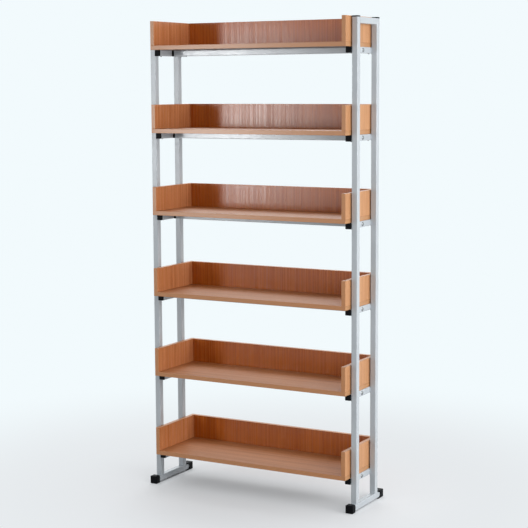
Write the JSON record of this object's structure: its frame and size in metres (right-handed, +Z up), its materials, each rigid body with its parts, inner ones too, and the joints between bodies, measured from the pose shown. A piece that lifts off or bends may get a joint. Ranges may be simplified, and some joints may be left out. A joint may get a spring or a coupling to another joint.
{
  "type": "single-sided library shelving",
  "caption": "Single-sided library shelving: square-tube end frames carry open-fronted beech board trays on arms tied by bolted crossbars, and stand free on capped feet.",
  "frame": {"origin": "on the floor, midway across the frames and midway through the trays' depth", "axes": "+X to the right as one faces the open front, +Y from the front to the back, +Z up"},
  "size_m": [0.985, 0.3, 2],
  "materials": {
    "frame_coat": "light silver-grey powder coat, satin",
    "beech_board": "chipboard faced in melamine with a printed beech grain, with edging of the same colour",
    "black_plastic": "moulded black plastic, fine matt texture",
    "zinc_plate": "bright zinc plate",
    "dowel_wood": "plain beech, fluted dowel rod"
  },
  "bodies": {
    "root": {"left_front_post": "frame_coat", "left_rear_post": "frame_coat", "left_top_rail": "frame_coat", "left_foot": "frame_coat", "right_front_post": "frame_coat", "right_rear_post": "frame_coat", "right_top_rail": "frame_coat", "right_foot": "frame_coat", "left_arm_1": "frame_coat", "left_arm_2": "frame_coat", "left_arm_3": "frame_coat", "left_arm_4": "frame_coat", "left_arm_5": "frame_coat", "left_arm_6": "frame_coat", "right_arm_1": "frame_coat", "right_arm_2": "frame_coat", "right_arm_3": "frame_coat", "right_arm_4": "frame_coat", "right_arm_5": "frame_coat", "right_arm_6": "frame_coat", "crossbar_1": "frame_coat", "crossbar_2": "frame_coat", "crossbar_3": "frame_coat", "crossbar_4": "frame_coat", "crossbar_5": "frame_coat", "crossbar_6": "frame_coat", "tray_1_bottom": "beech_board", "tray_1_left_side": "beech_board", "tray_1_right_side": "beech_board", "tray_1_back": "beech_board", "tray_2_bottom": "beech_board", "tray_2_left_side": "beech_board", "tray_2_right_side": "beech_board", "tray_2_back": "beech_board", "tray_3_bottom": "beech_board", "tray_3_left_side": "beech_board", "tray_3_right_side": "beech_board", "tray_3_back": "beech_board", "tray_4_bottom": "beech_board", "tray_4_left_side": "beech_board", "tray_4_right_side": "beech_board", "tray_4_back": "beech_board", "tray_5_bottom": "beech_board", "tray_5_left_side": "beech_board", "tray_5_right_side": "beech_board", "tray_5_back": "beech_board", "tray_6_bottom": "beech_board", "tray_6_left_side": "beech_board", "tray_6_right_side": "beech_board", "tray_6_back": "beech_board", "front_foot_caps": "black_plastic", "rear_foot_caps": "black_plastic", "post_plugs": "black_plastic", "arm_plugs": "black_plastic", "crossbar_inserts": "black_plastic", "crossbar_bolts": "zinc_plate", "tray_screws": "zinc_plate", "confirmat_screws": "zinc_plate", "dowels": "dowel_wood", "weld_seams": "frame_coat"}
  },
  "joints": []
}
